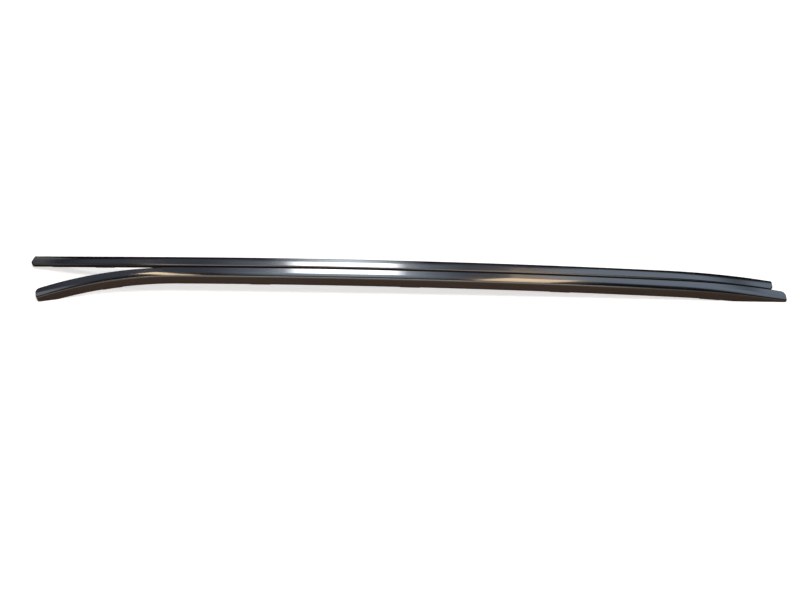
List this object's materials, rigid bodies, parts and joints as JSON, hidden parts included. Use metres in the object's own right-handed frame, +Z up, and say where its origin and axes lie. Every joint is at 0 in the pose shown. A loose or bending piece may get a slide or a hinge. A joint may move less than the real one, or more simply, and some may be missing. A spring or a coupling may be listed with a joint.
{
  "type": "roof side rail pair",
  "caption": "Mirror-image pair of low gloss black roof side rails lying side by side: long bowed hollow profiles with tapered end caps, fixed from below with threaded nut plates.",
  "frame": {"origin": "middle of the pair's footprint, on the ground that the tips lie on", "axes": "+X along the rails from the front tips to the rear tips, +Y from the right-hand rail to the left-hand rail, +Z up"},
  "size_m": [1.8704, 0.158, 0.057],
  "materials": {
    "rail_black": "gloss",
    "cap_black": "gloss",
    "seal_rubber": "matte",
    "pad_foam": "matte",
    "plated_steel": "satin"
  },
  "bodies": {
    "root": {"left_front_cap": "cap_black", "left_front_cap_screw": "plated_steel", "left_nut_plate_1": "plated_steel", "left_nut_plate_2": "plated_steel", "left_nut_plate_3": "plated_steel", "left_nut_plate_4": "plated_steel", "left_nut_plate_5": "plated_steel", "left_rail_profile": "rail_black", "left_rear_cap": "cap_black", "left_rear_cap_screw": "plated_steel", "left_seal_strip": "seal_rubber", "left_sealing_pad_1": "pad_foam", "left_sealing_pad_2": "pad_foam", "left_sealing_pad_3": "pad_foam", "left_sealing_pad_4": "pad_foam", "left_sealing_pad_5": "pad_foam", "right_front_cap": "cap_black", "right_front_cap_screw": "plated_steel", "right_nut_plate_1": "plated_steel", "right_nut_plate_2": "plated_steel", "right_nut_plate_3": "plated_steel", "right_nut_plate_4": "plated_steel", "right_nut_plate_5": "plated_steel", "right_rail_profile": "rail_black", "right_rear_cap": "cap_black", "right_rear_cap_screw": "plated_steel", "right_seal_strip": "seal_rubber", "right_sealing_pad_1": "pad_foam", "right_sealing_pad_2": "pad_foam", "right_sealing_pad_3": "pad_foam", "right_sealing_pad_4": "pad_foam", "right_sealing_pad_5": "pad_foam"}
  },
  "joints": []
}
